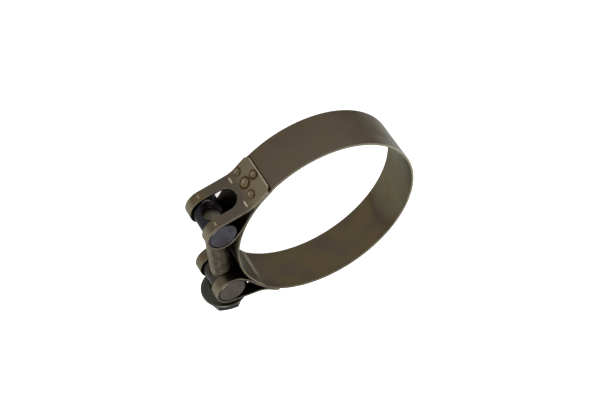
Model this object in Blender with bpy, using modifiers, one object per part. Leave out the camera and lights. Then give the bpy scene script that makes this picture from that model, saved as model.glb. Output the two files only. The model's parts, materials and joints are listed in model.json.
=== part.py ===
"""Heavy-duty single-bolt clamp for hoses and pipes.

A steel strap is bent into a ring, and both of its ends are folded round a cross barrel and
riveted back on themselves. A flange-head bolt runs through the plain barrel at its head and
into the threaded barrel at its tip. A thin bridge, riveted inside one end of the strap, spans
the gap under the bolt.

The clamp lies on its side: the ring's axis is +Z, the strap's lower edge is at z = 0, the gap
and the bolt face -Y, and the bolt's head points to +X. The ring is the strap's free shape,
with the bolt backed off. The strap is in two halves that meet behind, at the hinge that
stands for its spring.
"""
import math

import bmesh
import bpy
from mathutils import Euler, Matrix, Vector

MM = 0.001

# Strap
BAND_OUTER_RADIUS = 37.0 * MM
STRAP_THICKNESS = 0.8 * MM
STRAP_WIDTH = 18.0 * MM
BACK_GAP = 0.3 * MM
FLAP_CLEARANCE = 0.1 * MM
FLAP_END_ANGLE = 56.8
FLAP_CORNER = 2.4 * MM
LEG_START_ANGLE = 44.0
LEG_CURVE_PULL = 0.33
JOINT_ANGLE = 43.0
BEND_REACH = 3.0 * MM
BEND_CURVE_PULL = 0.35

# Cross barrels and the loops round them
BARREL_RADIUS = 5.4 * MM
BARREL_LENGTH = 17.8 * MM
BARREL_CHAMFER = 0.3 * MM
BARREL_ORBIT = 43.9 * MM
BARREL_ANGLE = 23.15
LOOP_CLEARANCE = 0.25 * MM
LOOP_ENTRY_ANGLE = 140.0

# Slot through each loop, for the bolt
SLOT_WIDTH = 9.5 * MM
SLOT_REACH = 11.4 * MM
SLOT_GAP_SIDE_ANGLE = 178.0
SLOT_CREST_STEPS = 6
SLOT_WALL = 2.0 * MM

# Bolt
BOLT_RADIUS = 4.0 * MM
BOLT_LENGTH = 44.0 * MM
BOLT_TIP_CHAMFER = 1.3 * MM
BORE_CLEARANCE = 0.35 * MM
COUNTERSINK_RADIUS = 4.8 * MM
COUNTERSINK_DEPTH = 1.4 * MM
COUNTERSINK_OVERRUN = 0.4 * MM
COUNTERSINK_NARROWING = 0.1 * MM
HEAD_FACE = 7.8 * MM
BEARING_RADIUS = 6.0 * MM
FLANGE_RADIUS = 8.95 * MM
FLANGE_RIM_LOW = 1.2 * MM
FLANGE_RIM_HIGH = 1.9 * MM
FLANGE_HEIGHT = 3.1 * MM
FLANGE_TOP_RADIUS = 6.1 * MM
HEAD_HEIGHT = 7.5 * MM
HEX_ACROSS_FLATS = 13.0 * MM
HEX_CHAMFER = 0.7 * MM
HEX_TURN = 15.0

# Bridge under the gap
BRIDGE_THICKNESS = 0.6 * MM
BRIDGE_WIDTH = 17.6 * MM
BRIDGE_CLEARANCE = 0.3 * MM
BRIDGE_RIVETED_END = -56.3
BRIDGE_FREE_END = 42.0
BRIDGE_STEPS = 40

# Rivets: angle from the middle of the gap, height from the strap's middle, head radius
RIVET_LAYOUT = {
    "centre": (46.6, -1.0 * MM, 2.0 * MM),
    "end": (53.4, -0.7 * MM, 1.45 * MM),
    "upper": (45.6, 4.4 * MM, 1.45 * MM),
    "lower": (46.0, -6.9 * MM, 1.45 * MM),
}
RIVET_SHANK_SHARE = 0.5
RIVET_HEAD_HEIGHT = 0.4 * MM
RIVET_CLEARANCE = 0.3 * MM
RIVET_HOLE_DEPTH = 8.0 * MM

# Points on the strap's path, part by part
RING_STEPS = 54
LEG_STEPS = 8
LOOP_STEPS = 26
BEND_STEPS = 6
FLAP_STEPS = 5
FLAP_POINTS = BEND_STEPS + FLAP_STEPS + 1

# Derived places
RING_MID_RADIUS = BAND_OUTER_RADIUS - STRAP_THICKNESS / 2
FLAP_MID_RADIUS = BAND_OUTER_RADIUS + FLAP_CLEARANCE + STRAP_THICKNESS / 2
LOOP_MID_RADIUS = BARREL_RADIUS + LOOP_CLEARANCE + STRAP_THICKNESS / 2
BOLT_LINE_Y = -BARREL_ORBIT * math.cos(math.radians(BARREL_ANGLE))
RING_CENTRE_Y = -(BOLT_LINE_Y - FLANGE_RADIUS + BAND_OUTER_RADIUS) / 2
MID_HEIGHT = STRAP_WIDTH / 2
BARREL_X = BARREL_ORBIT * math.sin(math.radians(BARREL_ANGLE))

SIDES = {"bolt_side": 1, "nut_side": -1}
MATERIALS = {
    "strap_steel": ((0.20, 0.18, 0.15), 0.38, 1.0),
    "bridge_steel": ((0.27, 0.25, 0.21), 0.34, 1.0),
    "nut_steel": ((0.22, 0.22, 0.25), 0.40, 1.0),
    "barrel_steel": ((0.24, 0.22, 0.20), 0.38, 1.0),
    "bolt_steel": ((0.27, 0.26, 0.23), 0.36, 1.0),
    "rivet_steel": ((0.17, 0.14, 0.10), 0.42, 1.0),
}


def direction(degrees):
    """Unit vector in the ring's plane at an angle from +X."""
    return Vector((math.cos(math.radians(degrees)), math.sin(math.radians(degrees)), 0.0))


def from_gap(radius, degrees):
    """Point in the ring's plane at an angle from the middle of the gap, towards +X."""
    return direction(degrees - 90.0) * radius


def clear_scene():
    for obj in list(bpy.data.objects):
        bpy.data.objects.remove(obj, do_unlink=True)


def new_collection(name):
    collection = bpy.data.collections.new(name)
    bpy.context.scene.collection.children.link(collection)
    return collection


def new_material(name):
    colour, roughness, metallic = MATERIALS[name]
    material = bpy.data.materials.new(name)
    material.use_nodes = True
    shader = material.node_tree.nodes["Principled BSDF"]
    shader.inputs["Base Color"].default_value = (*colour, 1.0)
    shader.inputs["Roughness"].default_value = roughness
    shader.inputs["Metallic"].default_value = metallic
    return material


def add_object(name, mesh, collection, parent, location=(0, 0, 0), rotation=(0, 0, 0)):
    obj = bpy.data.objects.new(name, mesh)
    collection.objects.link(obj)
    obj.parent = parent
    obj.location = location
    obj.rotation_euler = rotation
    return obj


def add_empty(name, collection, parent, location):
    return add_object(name, None, collection, parent, location)


def finish_part(obj, material_name):
    obj.data.materials.clear()
    obj.data.materials.append(bpy.data.materials[material_name])
    obj.data.shade_smooth()
    obj.data.set_sharp_from_angle(angle=math.radians(30))


def cylinder_mesh(name, radius, length, segments=48, top_radius=None):
    """Closed cylinder or cone along Z, centred on its middle."""
    mesh = bpy.data.meshes.new(name)
    shape = bmesh.new()
    bmesh.ops.create_cone(
        shape, cap_ends=True, segments=segments, radius1=radius,
        radius2=radius if top_radius is None else top_radius, depth=length)
    shape.to_mesh(mesh)
    shape.free()
    return mesh


def turned_mesh(name, profile, segments=48):
    """Solid turned round Z from a profile of (radius, height) points, top to bottom."""
    mesh = bpy.data.meshes.new(name)
    shape = bmesh.new()
    points = [shape.verts.new((radius, 0.0, height)) for radius, height in profile]
    for upper, lower in zip(points, points[1:]):
        shape.edges.new((upper, lower))
    shape.to_mesh(mesh)
    shape.free()
    obj = bpy.data.objects.new(name, mesh)
    bpy.context.scene.collection.objects.link(obj)
    screw = obj.modifiers.new("turn", "SCREW")
    screw.steps = segments
    screw.render_steps = segments
    screw.use_merge_vertices = True
    screw.merge_threshold = 0.00001
    turned = evaluated_mesh(obj)
    bpy.data.objects.remove(obj, do_unlink=True)
    return turned


def evaluated_mesh(obj):
    graph = bpy.context.evaluated_depsgraph_get()
    graph.update()
    return bpy.data.meshes.new_from_object(obj.evaluated_get(graph))


def outline_prism_mesh(name, points, height):
    """Closed prism with a flat outline in the ring's plane, centred on z = 0."""
    curve = bpy.data.curves.new(name, "CURVE")
    curve.dimensions = "2D"
    curve.fill_mode = "BOTH"
    curve.extrude = height / 2
    spline = curve.splines.new("POLY")
    spline.points.add(len(points) - 1)
    for target, point in zip(spline.points, points):
        target.co = (point.x, point.y, 0.0, 1.0)
    spline.use_cyclic_u = True
    obj = bpy.data.objects.new(name, curve)
    bpy.context.scene.collection.objects.link(obj)
    mesh = evaluated_mesh(obj)
    bpy.data.objects.remove(obj, do_unlink=True)
    shape = bmesh.new()
    shape.from_mesh(mesh)
    bmesh.ops.remove_doubles(shape, verts=shape.verts, dist=0.00001)
    bmesh.ops.recalc_face_normals(shape, faces=shape.faces)
    shape.to_mesh(mesh)
    shape.free()
    return mesh


def cut(obj, cutter, operation="DIFFERENCE"):
    """Boolean with a cutter, which is hidden and stays out of the part."""
    cutter.hide_render = True
    cutter.display_type = "WIRE"
    modifier = obj.modifiers.new(f"{operation.lower()}_{cutter.name}", "BOOLEAN")
    modifier.operation = operation
    modifier.object = cutter
    modifier.solver = "EXACT"


def smooth_turn(start, start_way, end, end_way, pull, steps):
    """Points of a curve that leaves start along start_way and reaches end along end_way."""
    reach = (end - start).length * pull
    first = start + start_way * reach
    last = end - end_way * reach
    points = []
    for index in range(1, steps + 1):
        t = index / steps
        s = 1.0 - t
        points.append(start * s**3 + first * 3 * s * s * t + last * 3 * s * t * t + end * t**3)
    return points


def strap_path():
    """Middle line of the strap's +X half and, for its slot, the flap's straight run.

    It runs from behind the ring, round it to the joint, out along the inner leg, round the
    barrel on the gap side, straight back down and on to the outside of the ring.
    """
    barrel = from_gap(BARREL_ORBIT, BARREL_ANGLE)
    hinge_turn = math.degrees(BACK_GAP / 2 / RING_MID_RADIUS)
    points = []
    for index in range(RING_STEPS + 1):
        share = index / RING_STEPS
        angle = (180.0 - hinge_turn) * (1 - share) + LEG_START_ANGLE * share
        points.append(from_gap(RING_MID_RADIUS, angle))

    entry = barrel + direction(LOOP_ENTRY_ANGLE) * LOOP_MID_RADIUS
    points += smooth_turn(points[-1], direction(LEG_START_ANGLE + 180.0), entry,
                          direction(LOOP_ENTRY_ANGLE + 90.0), LEG_CURVE_PULL, LEG_STEPS)

    joint = from_gap(FLAP_MID_RADIUS, JOINT_ANGLE)
    to_joint = joint - barrel
    exit_angle = (math.degrees(math.atan2(to_joint.y, to_joint.x))
                  - math.degrees(math.acos(LOOP_MID_RADIUS / to_joint.length)))
    sweep = exit_angle + 360.0 - LOOP_ENTRY_ANGLE
    for index in range(1, LOOP_STEPS + 1):
        angle = LOOP_ENTRY_ANGLE + sweep * index / LOOP_STEPS
        points.append(barrel + direction(angle) * LOOP_MID_RADIUS)
    straight_start = points[-1]
    straight_way = (joint - straight_start).normalized()

    bend_start = joint - straight_way * BEND_REACH
    points.append(bend_start)
    bend_end_angle = JOINT_ANGLE + math.degrees(BEND_REACH / FLAP_MID_RADIUS)
    points += smooth_turn(bend_start, straight_way, from_gap(FLAP_MID_RADIUS, bend_end_angle),
                          direction(bend_end_angle), BEND_CURVE_PULL, BEND_STEPS)
    for index in range(1, FLAP_STEPS + 1):
        angle = bend_end_angle + (FLAP_END_ANGLE - bend_end_angle) * index / FLAP_STEPS
        points.append(from_gap(FLAP_MID_RADIUS, angle))
    return points, straight_start, straight_way, exit_angle


def ribbon_mesh(name, points, width, end_corner=0.0):
    """Open strip along a path in the ring's plane, its last corners clipped."""
    mesh = bpy.data.meshes.new(name)
    shape = bmesh.new()
    rows = []
    for point in points:
        half = width / 2 - (end_corner if point is points[-1] else 0.0)
        rows.append([shape.verts.new((point.x, point.y, height)) for height in (-half, half)])
    for near, far in zip(rows, rows[1:]):
        shape.faces.new((near[0], far[0], far[1], near[1]))
    shape.to_mesh(mesh)
    shape.free()
    return mesh


def mirror_x(points):
    return [Vector((-point.x, point.y, point.z)) for point in points]


def rivet_seat(side, angle, height):
    """Point on the flap's outer face and the way out of it, at an angle from the gap."""
    points = strap_path()[0][-FLAP_POINTS:]
    angles = [math.degrees(math.atan2(point.x, -point.y)) for point in points]
    index = next(i for i, end in enumerate(angles[1:]) if end >= angle)
    share = (angle - angles[index]) / (angles[index + 1] - angles[index])
    way = (points[index + 1] - points[index]).normalized()
    outward = Vector((way.y, -way.x, 0.0))
    seat = points[index].lerp(points[index + 1], share) + outward * STRAP_THICKNESS / 2
    if side < 0:
        seat, outward = mirror_x([seat, outward])
    return seat + Vector((0, 0, height)), outward


def rivet_hole(name, collection, parent, side, angle, height, head_radius):
    """Cutter for one rivet's shank, through everything that it joins."""
    seat, outward = rivet_seat(side, angle, height)
    radius = head_radius * RIVET_SHANK_SHARE + RIVET_CLEARANCE
    mesh = cylinder_mesh(name, radius, RIVET_HOLE_DEPTH, 24)
    turn = outward.to_track_quat("Z", "Y").to_euler()
    return add_object(name, mesh, collection, parent, seat, turn)


def slot_cutters(name, side, collection, parent, straight_start, straight_way, exit_angle):
    """Prism over the loop's crest and a round end for each end of the slot."""
    barrel = from_gap(BARREL_ORBIT, BARREL_ANGLE)
    outward = direction(exit_angle)
    round_end = straight_start + straight_way * (SLOT_REACH - SLOT_WIDTH / 2)
    reach = 2.0 * LOOP_MID_RADIUS
    outline = [barrel]
    for index in range(SLOT_CREST_STEPS + 1):
        share = index / SLOT_CREST_STEPS
        angle = SLOT_GAP_SIDE_ANGLE * (1 - share) + (exit_angle + 345.0) * share
        outline.append(barrel + direction(angle) * reach)
    outline += [round_end + outward * SLOT_WALL, round_end - outward * SLOT_WALL]
    if side < 0:
        outline = mirror_x(outline)
    prism = add_object(f"{name}_slot_crest", outline_prism_mesh("crest", outline, SLOT_WIDTH),
                       collection, parent)
    cutters = [prism]
    gap_way = direction(SLOT_GAP_SIDE_ANGLE)
    ends = (("gap", barrel + gap_way * reach / 2, gap_way, reach),
            ("flap", round_end, outward, SLOT_WALL * 2))
    for end, place, way, length in ends:
        if side < 0:
            place, way = mirror_x([place, way])
        mesh = cylinder_mesh(f"{name}_slot_{end}", SLOT_WIDTH / 2, length, 40)
        turn = way.to_track_quat("Z", "Y").to_euler()
        cutters.append(add_object(f"{name}_slot_{end}", mesh, collection, parent, place, turn))
    return cutters


def rivet_places(side):
    """Angle, height and head radius of each rivet; the joints are half a turn apart."""
    for name, (angle, height, head_radius) in RIVET_LAYOUT.items():
        yield name, angle, height * -side, head_radius


def build_strap_half(side_name, parts, cutters, parent):
    side = SIDES[side_name]
    points, straight_start, straight_way, exit_angle = strap_path()
    if side < 0:
        points = mirror_x(points)
    name = f"band_{side_name}"
    half = add_object(name, ribbon_mesh(name, points, STRAP_WIDTH, FLAP_CORNER), parts, parent)
    solidify = half.modifiers.new("thickness", "SOLIDIFY")
    solidify.thickness = STRAP_THICKNESS
    solidify.offset = 0.0
    solidify.use_even_offset = True
    for cutter in slot_cutters(name, side, cutters, parent, straight_start, straight_way,
                               exit_angle):
        cut(half, cutter)
    for rivet, angle, height, head_radius in rivet_places(side):
        cut(half, rivet_hole(f"{name}_{rivet}_hole", cutters, parent, side, angle, height,
                             head_radius))
    finish_part(half, "strap_steel")


def build_bridge(parts, cutters, parent):
    radius = (BAND_OUTER_RADIUS - STRAP_THICKNESS - BRIDGE_CLEARANCE - BRIDGE_THICKNESS / 2)
    span = BRIDGE_FREE_END - BRIDGE_RIVETED_END
    points = [from_gap(radius, BRIDGE_RIVETED_END + span * index / BRIDGE_STEPS)
              for index in range(BRIDGE_STEPS + 1)]
    bridge = add_object("bridge", ribbon_mesh("bridge", points, BRIDGE_WIDTH), parts, parent)
    solidify = bridge.modifiers.new("thickness", "SOLIDIFY")
    solidify.thickness = BRIDGE_THICKNESS
    solidify.offset = 0.0
    solidify.use_even_offset = True
    side = SIDES["nut_side"]
    for rivet, angle, height, head_radius in rivet_places(side):
        cut(bridge, rivet_hole(f"bridge_{rivet}_hole", cutters, parent, side, angle, height,
                               head_radius))
    finish_part(bridge, "bridge_steel")


def build_rivet(name, parts, parent, side, angle, height, head_radius, grip):
    """Button head just off the flap and a shank through the layers that it joins."""
    shank = head_radius * RIVET_SHANK_SHARE
    crown = RIVET_HEAD_HEIGHT * 0.4
    profile = [
        (0.0, RIVET_HEAD_HEIGHT),
        (head_radius * 0.7, RIVET_HEAD_HEIGHT),
        (head_radius, RIVET_HEAD_HEIGHT - crown),
        (head_radius, 0.0),
        (shank, 0.0),
        (shank, -grip - RIVET_CLEARANCE),
        (0.0, -grip - RIVET_CLEARANCE),
    ]
    seat, outward = rivet_seat(side, angle, height)
    place = seat + outward * RIVET_CLEARANCE
    turn = outward.to_track_quat("Z", "Y").to_euler()
    rivet = add_object(name, turned_mesh(name, profile, 24), parts, parent, place, turn)
    finish_part(rivet, "rivet_steel")


def build_barrel(name, parts, cutters, parent, material_name, countersunk):
    """Cross barrel on its pivot axis, bored across along X."""
    barrel = add_object(name, cylinder_mesh(name, BARREL_RADIUS, BARREL_LENGTH, 64), parts,
                        parent)
    bevel = barrel.modifiers.new("ends", "BEVEL")
    bevel.width = BARREL_CHAMFER
    bevel.segments = 1
    bevel.limit_method = "ANGLE"
    bevel.angle_limit = math.radians(60)
    bore_radius = BOLT_RADIUS + BORE_CLEARANCE
    across = (0, math.pi / 2, 0)
    bore = add_object(f"{name}_bore", cylinder_mesh("bore", bore_radius, 4 * BARREL_RADIUS, 48),
                      cutters, parent, rotation=across)
    cut(barrel, bore)
    if countersunk:
        rim = BARREL_RADIUS + COUNTERSINK_OVERRUN
        narrow = bore_radius - COUNTERSINK_NARROWING
        wide = COUNTERSINK_RADIUS + COUNTERSINK_OVERRUN
        for end, sign in (("tip", -1), ("gap", 1)):
            mesh = cylinder_mesh("sink", narrow, COUNTERSINK_DEPTH, 48, wide)
            middle = sign * (rim - COUNTERSINK_DEPTH / 2)
            sink = add_object(f"{name}_sink_{end}", mesh, cutters, parent, (middle, 0, 0),
                              (0, sign * math.pi / 2, 0))
            cut(barrel, sink)
    finish_part(barrel, material_name)


def build_bolt(parts, cutters, parent):
    """Bolt turned round Z with its head up, then laid along X with its head at +X."""
    profile = [
        (0.0, FLANGE_HEIGHT),
        (FLANGE_TOP_RADIUS, FLANGE_HEIGHT),
        (FLANGE_RADIUS, FLANGE_RIM_HIGH),
        (FLANGE_RADIUS, FLANGE_RIM_LOW),
        (BEARING_RADIUS, 0.0),
        (BOLT_RADIUS, 0.0),
        (BOLT_RADIUS, BOLT_TIP_CHAMFER - BOLT_LENGTH),
        (BOLT_RADIUS - BOLT_TIP_CHAMFER, -BOLT_LENGTH),
        (0.0, -BOLT_LENGTH),
    ]
    along_x = (0, math.pi / 2, 0)
    bolt = add_object("bolt", turned_mesh("bolt", profile), parts, parent, (HEAD_FACE, 0, 0),
                      along_x)
    hex_radius = HEX_ACROSS_FLATS / 2 / math.cos(math.radians(30))
    hex_start = (FLANGE_RIM_LOW + FLANGE_RIM_HIGH) / 2
    mesh = cylinder_mesh("hexagon", hex_radius, HEAD_HEIGHT - hex_start, 6)
    middle = HEAD_FACE + (HEAD_HEIGHT + hex_start) / 2
    hex_turn = Matrix.Rotation(math.radians(HEX_TURN), 4, "X") @ Euler(along_x).to_matrix().to_4x4()
    hexagon = add_object("bolt_hexagon", mesh, cutters, parent, (middle, 0, 0),
                         hex_turn.to_euler())
    bevel = hexagon.modifiers.new("corners", "BEVEL")
    bevel.width = HEX_CHAMFER
    bevel.segments = 1
    bevel.limit_method = "ANGLE"
    bevel.angle_limit = math.radians(70)
    cut(bolt, hexagon, "UNION")
    finish_part(bolt, "bolt_steel")


def main():
    clear_scene()
    parts = new_collection("hose_clamp")
    cutters = new_collection("cutters")
    for material_name in MATERIALS:
        new_material(material_name)
    ring = add_empty("ring_centre", parts, None, (0, RING_CENTRE_Y, MID_HEIGHT))
    plain_pivot = add_empty("plain_barrel_pivot", parts, ring, (BARREL_X, BOLT_LINE_Y, 0))
    nut_pivot = add_empty("nut_barrel_pivot", parts, ring, (-BARREL_X, BOLT_LINE_Y, 0))

    two_straps = 2 * STRAP_THICKNESS + FLAP_CLEARANCE
    grips = {
        "bolt_side": two_straps,
        "nut_side": two_straps + BRIDGE_CLEARANCE + BRIDGE_THICKNESS,
    }
    for side_name, side in SIDES.items():
        build_strap_half(side_name, parts, cutters, ring)
        for rivet, angle, height, head_radius in rivet_places(side):
            build_rivet(f"rivet_{side_name}_{rivet}", parts, ring, side, angle, height,
                        head_radius, grips[side_name])
    build_bridge(parts, cutters, ring)
    build_barrel("plain_barrel", parts, cutters, plain_pivot, "barrel_steel", False)
    build_barrel("nut_barrel", parts, cutters, nut_pivot, "nut_steel", True)
    build_bolt(parts, cutters, plain_pivot)


main()
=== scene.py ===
"""Looks of the heavy-duty clamp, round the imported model.

One strap runs from the nut side's flap, round its barrel, round the ring and round the other
barrel to the bolt side's flap. A curved bridge, pressed rivets, two cross barrels and a
threaded bolt complete it. Everything is satin steel on a plain white floor.

Lengths are in metres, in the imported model's frame, and angles in degrees. A place on the
strap is a run along it, from its middle behind the ring and positive towards the bolt's head,
and a height from its middle line. Shaders read the same places in millimetres.
"""

import json
import math
from collections import namedtuple

import bmesh
import bpy
from mathutils import Matrix, Vector


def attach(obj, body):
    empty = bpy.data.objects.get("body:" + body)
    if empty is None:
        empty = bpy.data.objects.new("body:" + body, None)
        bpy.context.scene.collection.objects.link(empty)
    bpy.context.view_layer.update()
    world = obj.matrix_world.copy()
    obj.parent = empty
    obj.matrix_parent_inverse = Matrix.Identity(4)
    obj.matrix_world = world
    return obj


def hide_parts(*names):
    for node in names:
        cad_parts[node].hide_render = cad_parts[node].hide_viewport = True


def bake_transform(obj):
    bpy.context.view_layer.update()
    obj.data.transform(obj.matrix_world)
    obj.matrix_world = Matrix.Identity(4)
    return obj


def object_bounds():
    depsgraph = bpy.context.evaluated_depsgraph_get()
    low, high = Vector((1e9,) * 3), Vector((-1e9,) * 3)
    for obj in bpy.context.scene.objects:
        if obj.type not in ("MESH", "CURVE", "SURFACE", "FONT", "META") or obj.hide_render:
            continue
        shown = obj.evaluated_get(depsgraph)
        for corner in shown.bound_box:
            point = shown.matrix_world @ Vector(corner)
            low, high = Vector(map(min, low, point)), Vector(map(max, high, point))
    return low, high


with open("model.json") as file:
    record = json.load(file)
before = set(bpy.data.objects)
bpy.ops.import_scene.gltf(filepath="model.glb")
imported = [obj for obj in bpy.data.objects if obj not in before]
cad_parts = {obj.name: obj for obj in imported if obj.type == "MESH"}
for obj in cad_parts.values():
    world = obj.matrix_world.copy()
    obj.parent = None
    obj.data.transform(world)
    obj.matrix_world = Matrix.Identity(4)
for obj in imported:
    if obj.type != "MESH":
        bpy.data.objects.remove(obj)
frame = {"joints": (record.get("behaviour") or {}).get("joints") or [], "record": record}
CAD_LOW, CAD_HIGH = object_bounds()
MM = 0.001

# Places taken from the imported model
JOINTS = {joint["name"]: joint for joint in frame["joints"]}
BORE_LOW, BORE_HIGH = frame["record"]["physics"]["openings"][0]["box_m"]
RING_CENTRE = Vector((
    (BORE_LOW[0] + BORE_HIGH[0]) / 2,
    (BORE_LOW[1] + BORE_HIGH[1]) / 2,
    (CAD_LOW.z + CAD_HIGH.z) / 2,
))
BARREL_PLACES = {
    "bolt_side": Vector(JOINTS["plain_barrel_pivot"]["pos_m"]) - RING_CENTRE,
    "nut_side": Vector(JOINTS["nut_barrel_pivot"]["pos_m"]) - RING_CENTRE,
}
SIDES = {"bolt_side": 1, "nut_side": -1}

# Strap
BAND_OUTER_RADIUS = (CAD_HIGH.x - CAD_LOW.x) / 2
STRAP_WIDTH = CAD_HIGH.z - CAD_LOW.z
STRAP_THICKNESS = 0.8 * MM
FLAP_GAP = 0.02 * MM
FLAP_END_ANGLE = 56.8
FLAP_CORNER_INSET = 2.6 * MM
FLAP_CORNER_RUN = 2.2 * MM
LEG_START_ANGLE = 44.0
LEG_CURVE_PULL = 0.33
JOINT_ANGLE = 43.0
BEND_REACH = 3.0 * MM
BEND_CURVE_PULL = 0.35
LOOP_CLEARANCE = 0.25 * MM
LOOP_ENTRY_ANGLE = 140.0
SLOT_WIDTH = 9.5 * MM
SLOT_REACH = 11.4 * MM
SLOT_GAP_SIDE_ANGLE = 181.0
STRAP_EDGE_ROUND = 0.14 * MM

# Rows and columns of the strap's and the bridge's faces
STRAP_COLUMNS = 6
RING_ROW = 1.6 * MM
CLOSE_ROW = 0.7 * MM
SLOT_END_ROWS = 9
CORNER_ROWS = 7
LINE_STEP = 0.1 * MM

# Bridge under the gap
BRIDGE_THICKNESS = 0.6 * MM
BRIDGE_TIP_THICKNESS = 0.22 * MM
BRIDGE_TAPER = 3.2 * MM
BRIDGE_WIDTH = 17.6 * MM
BRIDGE_GAP = 0.02 * MM
BRIDGE_RIVETED_END = -56.3
BRIDGE_FREE_END = 42.0
BRIDGE_ROW_ANGLE = 1.5
BRIDGE_EDGE_ROUND = 0.1 * MM

# Barrels
BARREL_RADIUS = 5.4 * MM
BARREL_LENGTH = 17.8 * MM
BARREL_CHAMFER = 0.3 * MM
BARREL_DISH = 0.06 * MM
BARREL_STEPS = 96
BARREL_SHARP_ANGLE = 30.0
BORE_RADIUS = 4.35 * MM
BORE_STEPS = 64
COUNTERSINK_RADIUS = 4.8 * MM
COUNTERSINK_DEPTH = 1.3 * MM
COUNTERSINK_OVERRUN = 1.0 * MM
CUTTER_REACH = 2.4 * BARREL_RADIUS

# Bolt and its thread
BOLT_LENGTH = 44.0 * MM
HEAD_FACE = 7.8 * MM
THREAD_RADIUS = 4.0 * MM
THREAD_ROOT_RADIUS = 3.33 * MM
THREAD_PITCH = 1.25 * MM
THREAD_CLEARANCE = 0.06 * MM
THREAD_RUNOUT = 2.2 * MM
THREAD_TIP_RADIUS = 2.7 * MM
THREAD_STEPS = 48
THREAD_SPARE_TURNS = 2
THREAD_WELD = 0.002 * MM
THREAD_SLIVER = 0.001 * MM
HEAD_OVERLAP = 1.0 * MM
BOLT_SHARP_ANGLE = 28.0
BEARING_RADIUS = 6.0 * MM
FLANGE_RADIUS = 8.95 * MM
FLANGE_RIM_LOW = 1.2 * MM
FLANGE_RIM_HIGH = 1.9 * MM
FLANGE_HEIGHT = 3.1 * MM
FLANGE_TOP_RADIUS = 6.1 * MM
HEAD_HEIGHT = 7.5 * MM
HEX_ACROSS_FLATS = 13.0 * MM
HEX_TOP_RADIUS = 6.15 * MM
HEX_CHAMFER = 30.0
HEX_TURN = 45.0
HEAD_STEPS = 96

# Thread profile: share of a pitch, radius
THREAD_FLANK_RADIUS = (THREAD_RADIUS + THREAD_ROOT_RADIUS) / 2
THREAD_SECTION = (
    (0.0, THREAD_RADIUS),
    (0.12, THREAD_RADIUS),
    (0.24, THREAD_FLANK_RADIUS),
    (0.42, THREAD_ROOT_RADIUS),
    (0.60, THREAD_ROOT_RADIUS),
    (0.80, THREAD_FLANK_RADIUS),
)

# Rivets: angle from the middle of the gap, height from the strap's middle, head radius
RIVET_LAYOUT = {
    "centre": (46.6, -1.0 * MM, 2.0 * MM),
    "end": (53.4, -0.7 * MM, 1.45 * MM),
    "upper": (45.6, 4.4 * MM, 1.45 * MM),
    "lower": (46.0, -6.9 * MM, 1.45 * MM),
}
RIVET_STEPS = 40
RIVET_EDGE_ROUND = 0.04 * MM
RIVET_ROUND_ANGLE = 50.0

# Rivet section from its middle outwards: share of the head's radius, height over the strap
RIVET_SECTION = (
    (0.02, 0.30 * MM),
    (0.34, 0.30 * MM),
    (0.44, 0.24 * MM),
    (0.54, 0.24 * MM),
    (0.64, 0.31 * MM),
    (0.82, 0.27 * MM),
    (0.96, 0.15 * MM),
    (1.0, 0.0),
    (1.0, -0.15 * MM),
    (0.5, -0.2 * MM),
    (0.5, -1.6 * STRAP_THICKNESS),
)

# Camera
CAMERA_AIM = Vector((-0.6 * MM, -4.6 * MM, -3.0 * MM))
CAMERA_DISTANCE = 571.5 * MM
CAMERA_FORWARD = Vector((0.80050, 0.24308, -0.54780))
CAMERA_ROLL = 145.7
CAMERA_LENS = 92.9
CAMERA_SENSOR = 36.0

# Studio
FLOOR_SIZE = 12.0
FLOOR_GAP = 0.05 * MM
FLOOR_GREY = 0.85
FLOOR_GLOW = 0.8
SKY_STRENGTH = 0.55
LIGHTS = (
    ("key", (-0.3, -0.5, 0.7), 0.5, 6.0),
    ("fill", (0.6, 0.5, 0.5), 0.6, 4.0),
)

# The strap's middle line
RING_RADIUS = BAND_OUTER_RADIUS - STRAP_THICKNESS / 2
FLAP_RADIUS = BAND_OUTER_RADIUS + FLAP_GAP + STRAP_THICKNESS / 2
LOOP_RADIUS = BARREL_RADIUS + LOOP_CLEARANCE + STRAP_THICKNESS / 2
RING_AXIS = Vector((0.0, 0.0, 0.0))
BARREL_AXIS = Vector((BARREL_PLACES["bolt_side"].x, BARREL_PLACES["bolt_side"].y, 0.0))

Row = namedtuple("Row", "place outward run half slot thickness")


# ---- geometry helpers


def direction(degrees):
    """Unit vector in the ring's plane at an angle from +X."""
    return Vector((math.cos(math.radians(degrees)), math.sin(math.radians(degrees)), 0.0))


def from_gap(radius, degrees):
    """Point in the ring's plane at an angle from the middle of the gap, towards +X."""
    return direction(degrees - 90.0) * radius


def arc(centre, radius, first, last):
    """Closely spaced points of an arc between two angles from +X."""
    count = max(2, math.ceil(abs(math.radians(last - first)) * radius / LINE_STEP))
    return [centre + direction(first + (last - first) * index / count) * radius
            for index in range(count + 1)]


def smooth_turn(start, start_way, end, end_way, pull):
    """Points of a curve that leaves start along start_way and reaches end along end_way."""
    reach = (end - start).length * pull
    first = start + start_way * reach
    last = end - end_way * reach
    count = max(8, math.ceil((end - start).length / LINE_STEP))
    points = []
    for index in range(count + 1):
        t = index / count
        s = 1.0 - t
        points.append(start * s**3 + first * 3 * s * s * t + last * 3 * s * t * t + end * t**3)
    return points


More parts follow.
